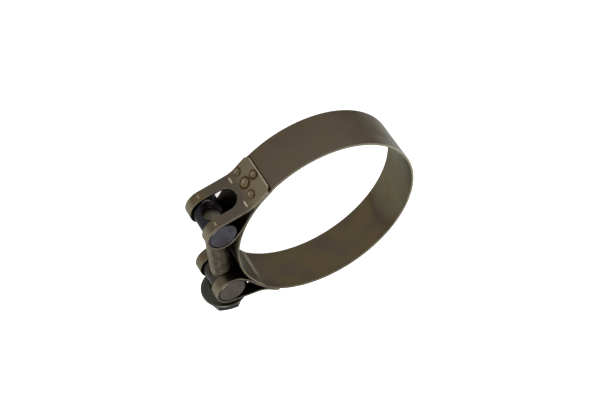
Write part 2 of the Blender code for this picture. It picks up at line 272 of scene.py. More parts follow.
class StrapLine:
    """The strap's middle line as a function of run, the same on both sides of the ring."""

    def __init__(self):
        self.points = []
        self.runs = []
        self.marks = {}
        self.add_ring()
        self.add_leg()
        self.add_loop()
        self.add_flap()
        slot_turn = math.radians(SLOT_GAP_SIDE_ANGLE - LOOP_ENTRY_ANGLE)
        self.slot_first = (self.marks["loop_start"] + slot_turn * LOOP_RADIUS
                           - SLOT_WIDTH / 2)
        self.slot_last = self.marks["loop_end"] + SLOT_REACH

    def add_ring(self):
        self.extend(arc(RING_AXIS, RING_RADIUS, 90.0, LEG_START_ANGLE - 90.0))
        self.mark("leg_start")

    def add_leg(self):
        entry = BARREL_AXIS + direction(LOOP_ENTRY_ANGLE) * LOOP_RADIUS
        self.extend(smooth_turn(self.points[-1], direction(LEG_START_ANGLE + 180.0), entry,
                                direction(LOOP_ENTRY_ANGLE + 90.0), LEG_CURVE_PULL))
        self.mark("loop_start")

    def add_loop(self):
        """Arc round the barrel, up to the place where it points straight at the joint."""
        to_joint = from_gap(FLAP_RADIUS, JOINT_ANGLE) - BARREL_AXIS
        leaving = (math.degrees(math.atan2(to_joint.y, to_joint.x))
                   - math.degrees(math.acos(LOOP_RADIUS / to_joint.length)))
        self.extend(arc(BARREL_AXIS, LOOP_RADIUS, LOOP_ENTRY_ANGLE, leaving + 360.0))
        self.mark("loop_end")

    def add_flap(self):
        """Straight run to the joint, a bend, and the flap that lies on the ring."""
        joint = from_gap(FLAP_RADIUS, JOINT_ANGLE)
        way = (joint - self.points[-1]).normalized()
        bend_start = joint - way * BEND_REACH
        self.extend(smooth_turn(self.points[-1], way, bend_start, way, LEG_CURVE_PULL))
        self.mark("bend_start")
        bend_end = JOINT_ANGLE + math.degrees(BEND_REACH / FLAP_RADIUS)
        self.extend(smooth_turn(bend_start, way, from_gap(FLAP_RADIUS, bend_end),
                                direction(bend_end), BEND_CURVE_PULL))
        self.mark("flap_start")
        self.extend(arc(RING_AXIS, FLAP_RADIUS, bend_end - 90.0, FLAP_END_ANGLE - 90.0))
        self.mark("end")

    def extend(self, points):
        """Adds points, leaving out any that repeats the last one."""
        for point in points:
            if not self.points:
                self.points.append(point)
                self.runs.append(0.0)
            elif (point - self.points[-1]).length > LINE_STEP / 10:
                self.runs.append(self.runs[-1] + (point - self.points[-1]).length)
                self.points.append(point)

    def mark(self, name):
        self.marks[name] = self.runs[-1]

    def at(self, run):
        """Point on the line and the way to its left, which is out of the ring."""
        wanted = min(abs(run), self.runs[-1])
        low, high = 0, len(self.runs) - 1
        while high - low > 1:
            middle = (low + high) // 2
            if self.runs[middle] <= wanted:
                low = middle
            else:
                high = middle
        share = (wanted - self.runs[low]) / (self.runs[high] - self.runs[low])
        point = self.points[low].lerp(self.points[high], share)
        before = self.points[max(low - 1, 0)]
        after = self.points[min(high + 1, len(self.points) - 1)]
        way = (after - before).normalized()
        outward = Vector((-way.y, way.x, 0.0))
        if wanted == 0.0:
            outward = Vector((0.0, 1.0, 0.0))
        if run < 0:
            point = Vector((-point.x, point.y, 0.0))
            outward = Vector((-outward.x, outward.y, 0.0))
        return point, outward

    def flap_run(self, angle):
        """Run at which the flap or its bend passes an angle from the middle of the gap."""
        for point, run in zip(self.points, self.runs):
            passed = math.degrees(math.atan2(point.x, -point.y)) >= angle
            if run > self.marks["bend_start"] and passed:
                return run
        return self.runs[-1]

    def half_height(self, run):
        """Half of the strap's height, less where the flap's corners are rounded off."""
        left = self.runs[-1] - abs(run)
        if left >= FLAP_CORNER_RUN:
            return STRAP_WIDTH / 2
        share = 1.0 - left / FLAP_CORNER_RUN
        return STRAP_WIDTH / 2 - FLAP_CORNER_INSET * (1.0 - math.sqrt(1.0 - share * share))

    def slot_half(self, run):
        """Half of the slot's height, 0 where there is no slot."""
        near = min(abs(run) - self.slot_first, self.slot_last - abs(run))
        radius = SLOT_WIDTH / 2
        if near <= 1e-9:
            return 0.0
        if near >= radius:
            return radius
        return math.sqrt(radius**2 - (radius - near)**2)


def spaced(first, last, step):
    """Values from first up to but not last, about a step apart."""
    count = max(1, round((last - first) / step))
    return [first + (last - first) * index / count for index in range(count)]


def strap_runs(line):
    """Runs of the strap's rows on one side, closer together at bends, slot ends and corners."""
    radius = SLOT_WIDTH / 2
    turns = [math.pi / 2 * index / SLOT_END_ROWS for index in range(SLOT_END_ROWS)]
    runs = spaced(0.0, line.marks["leg_start"], RING_ROW)
    runs += spaced(line.marks["leg_start"], line.slot_first, CLOSE_ROW)
    runs += [line.slot_first + radius * (1.0 - math.cos(turn)) for turn in turns]
    runs += spaced(line.slot_first + radius, line.slot_last - radius, CLOSE_ROW)
    runs += [line.slot_last - radius * (1.0 - math.sin(turn)) for turn in turns]
    corner = line.runs[-1] - FLAP_CORNER_RUN
    runs += spaced(line.slot_last, corner, CLOSE_ROW)
    return runs + [corner + FLAP_CORNER_RUN * math.sin(math.pi / 2 * index / CORNER_ROWS)
                   for index in range(CORNER_ROWS + 1)]


def new_object(name, mesh):
    obj = bpy.data.objects.new(name, mesh)
    bpy.context.scene.collection.objects.link(obj)
    return obj


def bake_modifiers(obj):
    """Replaces the object's mesh with its evaluated one and drops its modifiers."""
    graph = bpy.context.evaluated_depsgraph_get()
    graph.update()
    mesh = bpy.data.meshes.new_from_object(obj.evaluated_get(graph))
    obj.modifiers.clear()
    obj.data = mesh
    mesh.name = obj.name


def soften(obj, width, angle=40.0, material=-1):
    """Rounds the sharp edges and shades the flats flat, then bakes both."""
    bevel = obj.modifiers.new("round", "BEVEL")
    bevel.width = width
    bevel.segments = 2
    bevel.limit_method = "ANGLE"
    bevel.angle_limit = math.radians(angle)
    bevel.material = material
    bevel.use_clamp_overlap = True
    normals = obj.modifiers.new("normals", "WEIGHTED_NORMAL")
    normals.keep_sharp = False
    obj.data.shade_smooth()
    bake_modifiers(obj)


def finished(shape, name):
    """Mesh of a closed bmesh, its faces turned outwards."""
    bmesh.ops.recalc_face_normals(shape, faces=shape.faces)
    mesh = bpy.data.meshes.new(name)
    shape.to_mesh(mesh)
    shape.free()
    return mesh


def strip_columns(shape, layer, row, sign):
    """Vertices of one row on one face of a strip, below and above its slot."""
    def vertex(height):
        place = row.place + row.outward * (sign * row.thickness / 2)
        point = shape.verts.new(RING_CENTRE + place + Vector((0.0, 0.0, height)))
        point[layer] = Vector((row.run, height, sign * row.thickness / 2)) / MM
        return point

    steps = [index / STRAP_COLUMNS for index in range(STRAP_COLUMNS + 1)]
    low = [vertex(-row.half + (row.half - row.slot) * share) for share in steps]
    start = [low[-1]] if row.slot == 0.0 else [vertex(row.slot)]
    high = start + [vertex(row.slot + (row.half - row.slot) * share) for share in steps[1:]]
    return low, high


def strip_mesh(name, rows):
    """Closed strip with rounded outline and slots, its rim faces in the second material."""
    shape = bmesh.new()
    layer = shape.verts.layers.float_vector.new("strap_place")
    outer = [strip_columns(shape, layer, row, 1) for row in rows]
    inner = [strip_columns(shape, layer, row, -1) for row in rows]

    def face(corners, material):
        shape.faces.new(corners).material_index = material

    for index in range(len(rows) - 1):
        slotted = rows[index].slot > 0.0 or rows[index + 1].slot > 0.0
        for part, (edge, slot_side) in enumerate(((0, -1), (-1, 0))):
            for skin in (outer, inner):
                near, far = skin[index][part], skin[index + 1][part]
                for column in range(STRAP_COLUMNS):
                    face((near[column], far[column], far[column + 1], near[column + 1]), 0)
            for rim in (edge, slot_side) if slotted else (edge,):
                face((outer[index][part][rim], outer[index + 1][part][rim],
                      inner[index + 1][part][rim], inner[index][part][rim]), 1)
    for end in (0, -1):
        for part in (0, 1):
            top, bottom = outer[end][part], inner[end][part]
            for column in range(STRAP_COLUMNS):
                face((top[column], top[column + 1], bottom[column + 1], bottom[column]), 1)
    return finished(shape, name)


def ring_stack_mesh(name, rings):
    """Closed solid from rings of points, each ring joined to the next."""
    shape = bmesh.new()
    levels = [[shape.verts.new(point) for point in ring] for ring in rings]
    count = len(levels[0])
    for near, far in zip(levels, levels[1:]):
        for index in range(count):
            after = (index + 1) % count
            shape.faces.new((near[index], near[after], far[after], far[index]))
    for level in (levels[0], levels[-1]):
        shape.faces.new(level)
    return finished(shape, name)


def turned_rings(profile, segments):
    """Rings round Z from a profile of (radius, height) points."""
    return [[Vector((radius * math.cos(2 * math.pi * index / segments),
                     radius * math.sin(2 * math.pi * index / segments), height))
             for index in range(segments)] for radius, height in profile]


def boolean(obj, cutter, operation):
    """Cuts the cutter out of the object, or joins it on, and removes the cutter."""
    modifier = obj.modifiers.new("cut", "BOOLEAN")
    modifier.operation = operation
    modifier.object = cutter
    modifier.solver = "EXACT"
    bake_modifiers(obj)
    bpy.data.objects.remove(cutter, do_unlink=True)


# ---- thread


def thread_limit(along, length, radius, runout):
    """Radius of the thread's profile point, ground down at the tip and filled at the runout."""
    share = max(0.0, (along - (length - runout)) / runout)
    filled = THREAD_ROOT_RADIUS + (THREAD_RADIUS - THREAD_ROOT_RADIUS) * min(1.0, share)
    return max(min(radius, along + THREAD_TIP_RADIUS), filled)


def thread_mesh(name, length, grow, runout, phase):
    """Right-hand threaded rod along +Z, its tip at z = 0 and its far end at z = length."""
    turns = math.ceil(length / THREAD_PITCH) + THREAD_SPARE_TURNS
    shape = bmesh.new()
    grid = []
    for number in range(turns * len(THREAD_SECTION)):
        turn, step = divmod(number, len(THREAD_SECTION))
        share, radius = THREAD_SECTION[step]
        first = turn - THREAD_SPARE_TURNS + share
        line = []
        for index in range(THREAD_STEPS + 1):
            angle = 2 * math.pi * index / THREAD_STEPS
            along = (first + index / THREAD_STEPS + phase) * THREAD_PITCH
            along = min(max(along, 0.0), length)
            reach = thread_limit(along, length, radius, runout) + grow
            line.append(shape.verts.new((reach * math.cos(angle), reach * math.sin(angle),
                                         along)))
        grid.append(line)
    for near, far in zip(grid, grid[1:]):
        for index in range(THREAD_STEPS):
            shape.faces.new((near[index], near[index + 1], far[index + 1], far[index]))
    bmesh.ops.remove_doubles(shape, verts=shape.verts, dist=THREAD_WELD)
    bmesh.ops.dissolve_degenerate(shape, edges=shape.edges, dist=THREAD_SLIVER)
    open_edges = [edge for edge in shape.edges if edge.is_boundary]
    bmesh.ops.holes_fill(shape, edges=open_edges, sides=0)
    return finished(shape, name)


# ---- materials


class Shader:
    """Short calls that build one material's nodes."""

    def __init__(self, name):
        self.material = bpy.data.materials.new(name)
        self.material.use_nodes = True
        self.tree = self.material.node_tree
        self.surface = self.tree.nodes["Principled BSDF"]

    def put(self, socket, value):
        if isinstance(value, bpy.types.NodeSocket):
            self.tree.links.new(value, socket)
        else:
            socket.default_value = value

    def add(self, kind, inputs, output=0, **settings):
        node = self.tree.nodes.new(kind)
        for key, value in settings.items():
            setattr(node, key, value)
        for key, value in inputs.items():
            self.put(node.inputs[key], value)
        return node.outputs[output]

    def math(self, operation, first, second=0.0):
        return self.add("ShaderNodeMath", {0: first, 1: second}, operation=operation)

    def times(self, first, second):
        return self.math("MULTIPLY", first, second)

    def fade(self, value, low, high, bottom=0.0, top=1.0):
        """Smooth step from bottom to top as value goes from low to high."""
        inputs = {"Value": value, "From Min": low, "From Max": high, "To Min": bottom,
                  "To Max": top}
        return self.add("ShaderNodeMapRange", inputs, interpolation_type="SMOOTHSTEP")

    def mix(self, share, first, second):
        """Colour between first and second."""
        node = self.tree.nodes.new("ShaderNodeMix")
        node.data_type = "RGBA"
        for key, value in ((0, share), (6, first), (7, second)):
            self.put(node.inputs[key], value)
        return node.outputs[2]

    def scaled(self, place, x, y, z):
        return self.add("ShaderNodeVectorMath", {0: place, 1: (x, y, z)},
                        operation="MULTIPLY")

    def split(self, place):
        """The three coordinates of a place."""
        node = self.tree.nodes.new("ShaderNodeSeparateXYZ")
        self.put(node.inputs[0], place)
        return node.outputs[:3]

    def length(self, place):
        return self.add("ShaderNodeVectorMath", {0: place}, 1, operation="LENGTH")

    def noise(self, place, scale, detail, roughness):
        inputs = {"Vector": place, "Scale": scale, "Detail": detail, "Roughness": roughness}
        return self.add("ShaderNodeTexNoise", inputs)

    def bump(self, height, distance, normal=None):
        inputs = {"Height": height, "Distance": distance, "Strength": 1.0}
        if normal is not None:
            inputs["Normal"] = normal
        return self.add("ShaderNodeBump", inputs)

    def metal(self, colour, roughness, normal, grazing=0.6):
        """Bare metal; grazing below 1 dulls its reflection at shallow angles."""
        self.put(self.surface.inputs["Base Color"], colour)
        self.put(self.surface.inputs["Roughness"], roughness)
        self.put(self.surface.inputs["Normal"], normal)
        self.surface.inputs["Metallic"].default_value = 1.0
        self.surface.inputs["Specular Tint"].default_value = (grazing, grazing, grazing, 1.0)
        return self.material


def rgb(red, green, blue):
    """Linear colour with alpha from 0 to 255 display values."""
    def linear(value):
        share = value / 255.0
        return share / 12.92 if share <= 0.04045 else ((share + 0.055) / 1.055) ** 2.4
    return (linear(red), linear(green), linear(blue), 1.0)


# Colours
STRAP_OLIVE = rgb(70, 61, 44)
STRAP_GREY = rgb(65, 57, 47)
STRAP_OUTER = rgb(68, 60, 51)
STRAP_STEEL = rgb(60, 56, 52)
STRAP_DARK = rgb(48, 42, 28)
# Paler colours of the painted sheen behind the ring, a painted reflection
STRAP_PAINTED_SHEEN = rgb(100, 98, 86)
STRAP_PAINTED_SHEEN_INSIDE = rgb(86, 83, 64)
STRAP_EDGE = rgb(134, 129, 114)
EDGE_SEAM = rgb(58, 53, 44)
# Colour of the painted glint on the bridge
PAINTED_GLINT = rgb(190, 186, 176)
LOOP_PALE = rgb(112, 106, 88)
# Colour of the painted shade in the pocket behind the barrel
POCKET_PAINTED_SHADE = rgb(30, 26, 20)
# Brown of the heat tint, also used for painted shadow
HEAT_TINT_AND_SHADOW_BROWN = rgb(50, 34, 14)
BRIDGE_OLIVE = rgb(46, 42, 26)
# Colour of the painted highlights on the bends, the flap's end and the bridge
PAINTED_HIGHLIGHT = rgb(150, 142, 124)
BARREL_BLUE = rgb(72, 73, 79)
BARREL_BLUE_DARK = rgb(60, 54, 58)
BARREL_BLUE_SIDE = rgb(16, 16, 17)
BARREL_BROWN = rgb(90, 84, 79)
BARREL_BROWN_DARK = rgb(78, 72, 67)
BARREL_BROWN_SIDE = rgb(34, 32, 28)
# Painted shade inside the barrels' holes
HOLE_PAINTED_SHADE = rgb(20, 16, 17)
HOLE_TINT = rgb(52, 38, 44)
BOLT_LIGHT = rgb(102, 96, 84)
BOLT_DARK = rgb(81, 76, 65)
# Painted shade in the thread's roots; it also darkens the tip
BOLT_ROOT = rgb(34, 30, 23)
HEAD_GREEN = rgb(70, 70, 65)
HEAD_SHADE = rgb(46, 46, 41)
HEAD_RIM_HIGHLIGHT = rgb(84, 84, 77)
HOLE_RIM_HIGHLIGHT = rgb(104, 102, 104)

# Roughness from its lowest to its highest
STRAP_ROUGHNESS = (0.34, 0.46)
BRIDGE_ROUGHNESS = (0.30, 0.42)
BARREL_ROUGHNESS = (0.34, 0.44)
BOLT_ROUGHNESS = (0.34, 0.42)
EDGE_ROUGHNESS = 0.36
DULL_ROUGHNESS = 0.4
BRIDGE_GRAZING = 0.55
BARREL_GRAZING = 0.58

# Noise on the strap, stretched by run, height and depth
GRAIN_STRETCH = (0.35, 9.0, 1.0)
CLOUD_STRETCH = (0.25, 0.35, 1.0)
DRIFT_STRETCH = (0.09, 0.11, 0.3)
STREAK_STRETCH = (0.6, 0.6, 3.0)

# Painted sheen behind the ring, a painted reflection: run where it ends, run where it is full,
# none, full share
PALE_OUTSIDE = (33.0, 17.0, 0.0, 0.85)
PALE_INSIDE = (28.0, 15.0, 0.0, 0.7)
SHEEN_WANDER = 4.0

# Darker band before the painted sheen, in millimetres of run: low, high, softness
DARK_OUTSIDE = (31.0, 42.0, 5.0)
DARK_INSIDE = (24.0, 30.0, 4.0)
DARK_SHARE = 0.45

# Painted highlights across the strap's bends: run past the loop's end, lower and upper height,
# share
CREASE_HIGHLIGHTS = ((-0.5, 5.6, 8.2, 0.3), (12.2, 3.9, 8.1, 0.7))

# Painted light on the bridge, in millimetres short of its free end: far, near, softness
TIP_HIGHLIGHT = (3.6, 0.5, 1.0)
LENS_SHADE = (8.5, 4.0, 1.6)
SLANT_HIGHLIGHT = (12.5, 10.8, 1.2)
SLANT = 0.55
# Painted glint on the bridge's outer face, in millimetres of run and height: low, high,
# softness
GLEAM_RUN = (0.6, 3.4, 0.6)
GLEAM_HEIGHT = (0.5, 5.5, 1.0)

# Burnt edge at the bolt side's joint, in millimetres round the flap's and the leg's start
BURNT_FLAP = (-4.5, 1.5)
BURNT_LEG = (-7.0, 0.5)
BURNT_SOFT = 0.8

# Heat tint round the rivets, and a painted shadow crescent beside the small ones
SHADOW_CRESCENT_RIVETS = ("upper", "lower")
SMALL_RIM_BROWN = 0.45


def band_between(shader, value, low, high, soft):
    """1 between low and high, fading to 0 over soft."""
    rise = shader.fade(value, low - soft, low + soft)
    fall = shader.fade(value, high - soft, high + soft, 1.0, 0.0)
    return shader.times(rise, fall)


class StrapPlace:
    """Sockets with the place on the strap, in millimetres, and the noises that wear it."""

    def __init__(self, shader):
        place = shader.add("ShaderNodeAttribute", {}, 1, attribute_name="strap_place")
        self.place = place
        self.run, self.height, self.depth = shader.split(place)
        self.along = shader.math("ABSOLUTE", self.run)
        self.aside = shader.math("ABSOLUTE", self.height)
        facing = shader.times(shader.math("SIGN", self.run), -1.0)
        self.across = shader.times(self.height, facing)
        self.outer_face = shader.fade(self.depth, -0.15, 0.15)
        self.inner_face = shader.math("SUBTRACT", 1.0, self.outer_face)
        self.grain = shader.noise(shader.scaled(place, *GRAIN_STRETCH), 1.0, 4.0, 0.6)
        self.cloud = shader.noise(shader.scaled(place, *CLOUD_STRETCH), 1.0, 4.0, 0.6)
        self.drift = shader.noise(shader.scaled(place, *DRIFT_STRETCH), 1.0, 1.0, 0.4)

    def distance_to(self, shader, run, height):
        """Millimetres from a place on the strap, given in metres."""
        down = shader.math("SUBTRACT", self.along, run / MM)
        over = shader.math("SUBTRACT", self.across, height / MM)
        square = shader.math("ADD", shader.times(down, down), shader.times(over, over))
        return shader.math("SQRT", square)


def rolled_steel(shader, strap):
    """Base colour of the strap and the bridge, before their marks."""
    colour = shader.mix(shader.fade(strap.drift, 0.35, 0.65), STRAP_GREY, STRAP_OLIVE)
    colour = shader.mix(shader.times(strap.outer_face, 0.6), colour, STRAP_OUTER)
    shade = shader.math("ADD", shader.fade(strap.grain, 0.3, 0.7, 0.97, 1.03),
                        shader.fade(strap.cloud, 0.3, 0.7, -0.05, 0.05))
    return shader.add("ShaderNodeVectorMath", {0: colour, 1: (1, 1, 1), "Scale": shade},
                      operation="SCALE")


def painted_back_sheen(shader, strap, colour):
    """Painted reflection: paler colour behind the ring, with an uneven border and a darker rim
    before it.
    """
    wander = shader.fade(strap.drift, 0.2, 0.8, -SHEEN_WANDER, SHEEN_WANDER)
    border = shader.math("ADD", strap.along, wander)
    dark_out = band_between(shader, border, *DARK_OUTSIDE)
    dark_in = band_between(shader, border, *DARK_INSIDE)
    dark = shader.math("ADD", shader.times(dark_out, strap.outer_face),
                       shader.times(dark_in, strap.inner_face))
    colour = shader.mix(shader.times(dark, DARK_SHARE), colour, STRAP_DARK)
    pale_out = shader.fade(border, *PALE_OUTSIDE)
    pale_in = shader.fade(border, *PALE_INSIDE)
    colour = shader.mix(shader.times(pale_out, strap.outer_face), colour, STRAP_PAINTED_SHEEN)
    return shader.mix(shader.times(pale_in, strap.inner_face), colour, STRAP_PAINTED_SHEEN_INSIDE)


def rivet_heat_and_shadow(shader, strap, line):
    """Brown heat-tint rings round the rivets; beside the small ones only a crescent stays, a
    painted shadow.
    """
    heat = 0.0
    for name, (angle, height, radius) in RIVET_LAYOUT.items():
        run = line.flap_run(angle)
        gap = strap.distance_to(shader, run, height)
        edge = radius / MM
        ring = band_between(shader, gap, edge - 0.25, edge + 0.5, 0.12)
        # Painted shadow: the small rivets keep only a crescent of their ring
        if name in SHADOW_CRESCENT_RIVETS:
            beyond = shader.math("SUBTRACT", strap.along, run / MM)
            ring = shader.times(ring, shader.fade(beyond, -1.2, 0.4, 0.15, 1.0))
        halo = shader.fade(gap, edge, edge + 1.5, 0.35, 0.0)
        heat = shader.math("MAXIMUM", heat, shader.math("MAXIMUM", ring, halo))
    return shader.times(heat, 0.92)


def painted_crease_highlights(shader, strap, line):
    """Painted highlights: pale bars across the strap at its bends, beside the slot's two ends.
    """
    marks = 0.0
    loop_end = line.marks["loop_end"] / MM
    for past, low, high, share in CREASE_HIGHLIGHTS:
        middle = (low + high) / 2
        off = shader.math("ABSOLUTE", shader.math("SUBTRACT", strap.aside, middle))
        half = shader.fade(off, (high - low) / 5, (high - low) / 1.9, 0.34, -0.25)
        away = shader.math("ABSOLUTE", shader.math("SUBTRACT", strap.along, loop_end + past))
        bar = shader.fade(shader.math("SUBTRACT", away, half), -0.18, 0.18, share, 0.0)
        marks = shader.math("MAXIMUM", marks, bar)
    return marks


def loop_wear_and_painted_light(shader, strap, marks, colour):
    """Paler flap, greyer straight run, a paler loop band, partly wear and partly a painted
    highlight, and painted shade in the pocket behind the barrel.
    """
    flap = shader.fade(strap.along, marks["bend_start"], marks["flap_start"], 0.0, 0.3)
    colour = shader.mix(flap, colour, LOOP_PALE)
    straight = band_between(shader, strap.along, marks["loop_end"] + 2.0,
                            marks["bend_start"] + 2.0, 2.0)
    colour = shader.mix(shader.times(straight, 0.55), colour, STRAP_STEEL)

    # Paler band round the loop's outermost bend: partly wear, partly a painted highlight
    loop_middle = (marks["loop_start"] + marks["loop_end"]) / 2
    nut_side_later = shader.fade(strap.run, -1.0, 1.0, -4.6, -1.0)
    from_middle = shader.math("SUBTRACT", shader.math("ADD", strap.along, nut_side_later),
                              loop_middle)
    worn_and_lit = band_between(shader, from_middle, -2.4, 2.2, 1.8)
    worn_and_lit = shader.times(worn_and_lit, shader.fade(strap.run, -1.0, 1.0, 0.65, 0.5))
    colour = shader.mix(worn_and_lit, colour, LOOP_PALE)

    # Painted shade in the pocket behind the barrel
    pocket = band_between(shader, strap.along, marks["leg_start"] - 1.0,
                          marks["bend_start"] + 0.5, 0.5)
    pocket = shader.times(pocket, strap.outer_face)
    return shader.mix(shader.times(pocket, 0.9), colour, POCKET_PAINTED_SHADE)


def flap_end_painted_light(shader, strap, marks, colour):
    """Painted highlight on the flap's end, and a painted shadow line on the ring beside it."""
    # Painted highlight on the flap's end
    lit_end = shader.fade(strap.along, marks["end"] - 0.5, marks["end"] - 0.25, 0.0, 0.7)
    colour = shader.mix(lit_end, colour, PAINTED_HIGHLIGHT)
    # Painted shadow line on the ring beside the flap's end
    under_end = math.radians(180.0 - FLAP_END_ANGLE) * BAND_OUTER_RADIUS / MM
    seam = band_between(shader, strap.along, under_end - 1.0, under_end + 0.6, 0.2)
    return shader.mix(shader.times(seam, strap.outer_face), colour, HEAT_TINT_AND_SHADOW_BROWN)


def strap_material(line):
    """Satin strap: painted sheen behind the ring, wear and painted light at the loops, heat
    tint and painted shadow at the rivets.
    """
    shader = Shader("strap_satin_steel")
    strap = StrapPlace(shader)
    marks = {name: run / MM for name, run in line.marks.items()}
    colour = painted_back_sheen(shader, strap, rolled_steel(shader, strap))
    colour = loop_wear_and_painted_light(shader, strap, marks, colour)
    colour = shader.mix(rivet_heat_and_shadow(shader, strap, line), colour, HEAT_TINT_AND_SHADOW_BROWN)
    colour = flap_end_painted_light(shader, strap, marks, colour)
    colour = shader.mix(painted_crease_highlights(shader, strap, line), colour, PAINTED_HIGHLIGHT)
    # Paler towards both edges: partly wear, partly a painted highlight
    half_width = STRAP_WIDTH / MM / 2
    edge_pale = shader.fade(strap.aside, half_width - 0.5, half_width, 0.0, 0.3)
    colour = shader.mix(edge_pale, colour, STRAP_EDGE)
    roughness = shader.fade(strap.cloud, 0.25, 0.75, *STRAP_ROUGHNESS)
    normal = shader.bump(strap.grain, 0.003 * MM)
    normal = shader.bump(strap.cloud, 0.02 * MM, normal)
    return shader.metal(colour, roughness, normal)


def bridge_painted_light(shader, strap, colour):
    """Painted reflections towards the free end: a dark lens and two pale bands, the lens and
    one band slanted.
    """
    free_end = math.radians(BRIDGE_FREE_END) * (BAND_OUTER_RADIUS - STRAP_THICKNESS) / MM

    def short_of_end(place, far, near, soft):
        return band_between(shader, place, free_end - far, free_end - near, soft)

    slant = shader.math("ADD", strap.run, shader.times(strap.height, SLANT))
    lens = short_of_end(slant, *LENS_SHADE)
    colour = shader.mix(shader.times(lens, 0.55), colour, STRAP_DARK)
    tip = shader.times(short_of_end(strap.run, *TIP_HIGHLIGHT),
                       shader.fade(strap.cloud, 0.3, 0.65, 0.25, 0.6))
    colour = shader.mix(tip, colour, PAINTED_HIGHLIGHT)
    streak = shader.times(short_of_end(slant, *SLANT_HIGHLIGHT),
                          shader.fade(strap.cloud, 0.35, 0.7, 0.0, 0.4))
    return shader.mix(streak, colour, PAINTED_HIGHLIGHT)


def bridge_material():
    """Satin bridge: painted reflections at its free end, with a painted glint under the bolt.
    """
    shader = Shader("bridge_satin_steel")
    strap = StrapPlace(shader)
    colour = shader.mix(0.6, rolled_steel(shader, strap), BRIDGE_OLIVE)
    colour = bridge_painted_light(shader, strap, colour)
    # Painted glint under the bolt
    gleam = shader.times(band_between(shader, strap.run, *GLEAM_RUN),
                         band_between(shader, strap.height, *GLEAM_HEIGHT))
    gleam = shader.times(gleam, strap.outer_face)
    colour = shader.mix(shader.times(gleam, 0.35), colour, PAINTED_GLINT)
    half_width = BRIDGE_WIDTH / MM / 2
    edge_pale = shader.fade(strap.height, half_width - 3.0, half_width, 0.0, 0.5)
    colour = shader.mix(edge_pale, colour, LOOP_PALE)
    roughness = shader.fade(strap.cloud, 0.25, 0.75, *BRIDGE_ROUGHNESS)
    return shader.metal(colour, roughness, shader.bump(strap.cloud, 0.02 * MM),
                        BRIDGE_GRAZING)


def edge_material(line):
    """Sheared edge of strip, pale with a dark seam, and burnt at the bolt side's joint."""
    shader = Shader("strap_sheared_edge")
    strap = StrapPlace(shader)
    streak = shader.noise(shader.scaled(strap.place, *STREAK_STRETCH), 1.0, 3.0, 0.6)
    colour = shader.mix(shader.fade(streak, 0.3, 0.7, 0.0, 0.35), STRAP_EDGE, STRAP_GREY)
    middle = shader.fade(shader.math("ABSOLUTE", strap.depth), 0.08, 0.24, 0.75, 0.0)
    colour = shader.mix(middle, colour, EDGE_SEAM)
    burnt = 0.0
    for mark, (before, after) in (("flap_start", BURNT_FLAP), ("leg_start", BURNT_LEG)):
        run = line.marks[mark] / MM
        band = band_between(shader, strap.run, run + before, run + after, BURNT_SOFT)
        burnt = shader.math("ADD", burnt, band)
    colour = shader.mix(shader.times(burnt, 0.9), colour, HEAT_TINT_AND_SHADOW_BROWN)
    return shader.metal(colour, EDGE_ROUGHNESS, shader.bump(streak, 0.006 * MM))


class TurnedPlace:
    """Sockets with the place on a turned piece, in millimetres from its own middle."""

    def __init__(self, shader):
        self.place = shader.scaled(shader.add("ShaderNodeTexCoord", {}, 3),
                                   1 / MM, 1 / MM, 1 / MM)
        self.radial = shader.length(shader.scaled(self.place, 1, 1, 0))
        self.along = shader.split(self.place)[2]
        self.cloud = shader.noise(self.place, 0.28, 3.0, 0.55)
        self.fleck = shader.noise(self.place, 2.2, 3.0, 0.6)

    def relief(self, shader, pitch, depth, fleck_depth):
        """Faint tool marks round the axis over a slightly uneven skin."""
        turned = shader.math("ADD", self.radial, self.along)
        wave = shader.math("SINE", shader.times(turned, 2 * math.pi / pitch))
        normal = shader.bump(shader.times(wave, 0.5), depth)
        return shader.bump(self.fleck, fleck_depth, normal)


def barrel_material(name, light, dark, side):
    """Turned barrel: a mottled end face and a darker side."""
    shader = Shader(name)
    turned = TurnedPlace(shader)
    colour = shader.mix(shader.fade(turned.cloud, 0.35, 0.68), light, dark)
    on_side = shader.fade(turned.radial, BARREL_RADIUS / MM - 0.2, BARREL_RADIUS / MM - 0.05)
    colour = shader.mix(shader.times(on_side, 0.85), colour, side)
    roughness = shader.fade(turned.fleck, 0.3, 0.7, *BARREL_ROUGHNESS)
    normal = turned.relief(shader, 0.22, 0.001 * MM, 0.01 * MM)
    return shader.metal(colour, roughness, normal, BARREL_GRAZING)


def hole_material():
    """Inside of the barrels' holes: painted shade with a purple heat tint in patches, and a
    painted rim highlight.
    """
    shader = Shader("barrel_hole_painted_shade")
    turned = TurnedPlace(shader)
    colour = shader.mix(shader.fade(turned.cloud, 0.4, 0.7), HOLE_PAINTED_SHADE, HOLE_TINT)
    from_axis = shader.length(shader.scaled(turned.place, 0, 1, 1))
    rim = COUNTERSINK_RADIUS / MM
    # Painted highlight on the countersink's rim
    colour = shader.mix(shader.fade(from_axis, rim - 0.45, rim - 0.15, 0.0, 0.8), colour,
                        HOLE_RIM_HIGHLIGHT)
    return shader.metal(colour, DULL_ROUGHNESS, shader.bump(turned.fleck, 0.01 * MM))


